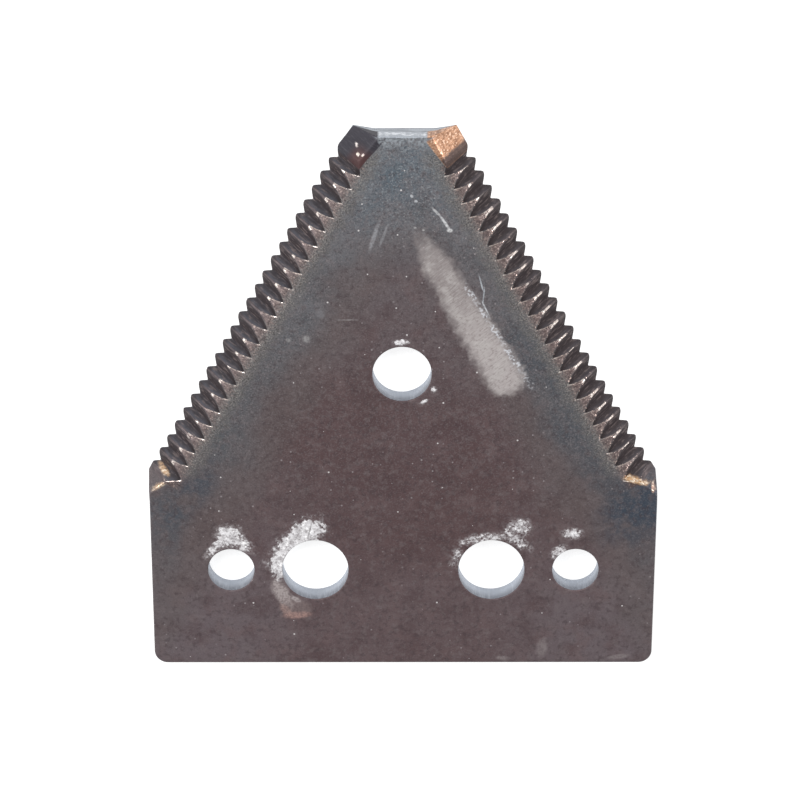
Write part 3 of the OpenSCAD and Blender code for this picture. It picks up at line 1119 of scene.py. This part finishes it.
def steel_material():
    """The weathered steel of the section."""
    coat = Coat("weathered_steel", srgb(93, 79, 81), 0.5, 0.35)
    square = math.degrees(EDGE_ANGLE)
    left = coat.noise(STREAK_LUMPS, 3.0, seed=22, turn=180 - square)
    right = coat.noise(STREAK_LUMPS, 3.0, seed=29, turn=square)
    streak = coat.mix("FLOAT", coat.x.ramp(-0.1, 0.1), left, right)
    lay_patina(coat)
    lay_grain(coat, lay_heat_zone(coat))
    lay_halo(coat)
    lay_teeth(coat, streak)
    lay_tip(coat, streak)
    lay_tip_end(coat)
    lay_glint_patches(coat)
    front = coat.z.ramp(*FRONT_FACE)
    smear = lay_smear(coat, front)
    crust = lay_marks(coat, front)
    near_edge = coat.inward.ramp(*STREAK_REACH)
    height = coat.noise(0.25, 3.0, seed=23) * GRAIN_RELIEF + streak * near_edge * STREAK_RELIEF
    height = height + crust * coat.noise(0.4, 3.0, seed=24) * CRUST_RELIEF + smear * SMEAR_RELIEF
    return coat.close(height)


def bore_material():
    """Bare punched metal of the hole walls, with faint drag lines through the thickness."""
    coat = Coat("bare_bore", srgb(174, 180, 190), 0.45, 0.5)
    drag = coat.noise((0.35, 0.35, 4.0), 3.0, seed=25)
    cloud = coat.noise(1.6, 4.0, seed=51)
    coat.lay((coat.z + cloud).ramp(1.5, 3.6) * 0.9, (124, 127, 136), 0.5)
    coat.lay(drag.ramp(0.5, 0.72) * 0.35, (190, 195, 203))
    return coat.close(drag * BORE_RELIEF)


# Stage

WORLD_STRENGTH = 0.4
FLOOR_COLOUR = (0.44, 0.44, 0.44)
FLOOR_GLOW = 0.78
FLOOR_HALF = 2000.0
FLOOR_DROP = 0.02
CAMERA_PLACE = (-2.32, 200.15, 438.15)
CAMERA_TURN = (-24.588, -0.202, 0.07)
CAMERA_LENS = 145.85
SENSOR_WIDTH = 36
CAMERA_NEAR = 0.01
# Lamps: place, size and power
LAMPS = {
    "key": ((-160, 420, 520), 260, 2.6),
    "left": ((-420, 60, 230), 110, 1.1),
    "right": ((420, 60, 230), 110, 1.1),
}


def floor_material():
    """A pale matt floor, seen as white by the camera and in reflections, with the shadow kept."""
    coat = Coat("floor", FLOOR_COLOUR, 0.9, 0.0)
    path = coat.node("ShaderNodeLightPath")
    seen = Field(coat.tree, path.outputs["Is Camera Ray"])
    for name in ("Is Glossy Ray", "Is Transmission Ray"):
        seen = seen.over(Field(coat.tree, path.outputs[name]))
    coat.shader.inputs["Emission Color"].default_value = (1, 1, 1, 1)
    plug(coat.tree, seen * FLOOR_GLOW, coat.shader.inputs["Emission Strength"])
    return coat.close(specular=0.0)


def make_floor():
    """The floor under the section."""
    half = FLOOR_HALF * MM
    low = -FLOOR_DROP * MM
    mesh = bpy.data.meshes.new("floor")
    corners = [(x * half, y * half, low) for x, y in ((-1, -1), (1, -1), (1, 1), (-1, 1))]
    mesh.from_pydata(corners, [], [(0, 1, 2, 3)])
    floor = bpy.data.objects.new("floor", mesh)
    bpy.context.scene.collection.objects.link(floor)
    floor.data.materials.append(floor_material())


def make_lamp(name, place, size, power):
    """A soft square lamp that looks at the section."""
    data = bpy.data.lights.new(name, "AREA")
    data.size = size * MM
    data.energy = power
    lamp = bpy.data.objects.new(name, data)
    lamp.location = Vector(place) * MM
    lamp.rotation_mode = "QUATERNION"
    lamp.rotation_quaternion = (-lamp.location).to_track_quat("-Z", "Y")
    bpy.context.scene.collection.objects.link(lamp)


def make_world():
    """An even pale surrounding."""
    world = bpy.data.worlds.new("studio")
    bpy.context.scene.world = world
    world.use_nodes = True
    background = world.node_tree.nodes["Background"]
    background.inputs["Color"].default_value = (1, 1, 1, 1)
    background.inputs["Strength"].default_value = WORLD_STRENGTH


def make_camera():
    """The photograph's camera: above the tip side, looking down at the front face."""
    data = bpy.data.cameras.new("camera")
    data.sensor_width = SENSOR_WIDTH
    data.lens = CAMERA_LENS
    data.clip_start = CAMERA_NEAR
    camera = bpy.data.objects.new("camera", data)
    camera.location = Vector(CAMERA_PLACE) * MM
    camera.rotation_euler = [math.radians(turn) for turn in CAMERA_TURN]
    bpy.context.scene.collection.objects.link(camera)
    bpy.context.scene.camera = camera


section = bpy.data.objects.new("section", section_mesh())
bpy.context.scene.collection.objects.link(section)
section.data.materials.append(steel_material())
section.data.materials.append(bore_material())
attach(section, "root")
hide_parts(NODE)

make_floor()
make_world()
for lamp_name, (lamp_place, lamp_size, lamp_power) in LAMPS.items():
    make_lamp(lamp_name, lamp_place, lamp_size, lamp_power)
make_camera()
bpy.context.scene.view_settings.view_transform = "Standard"
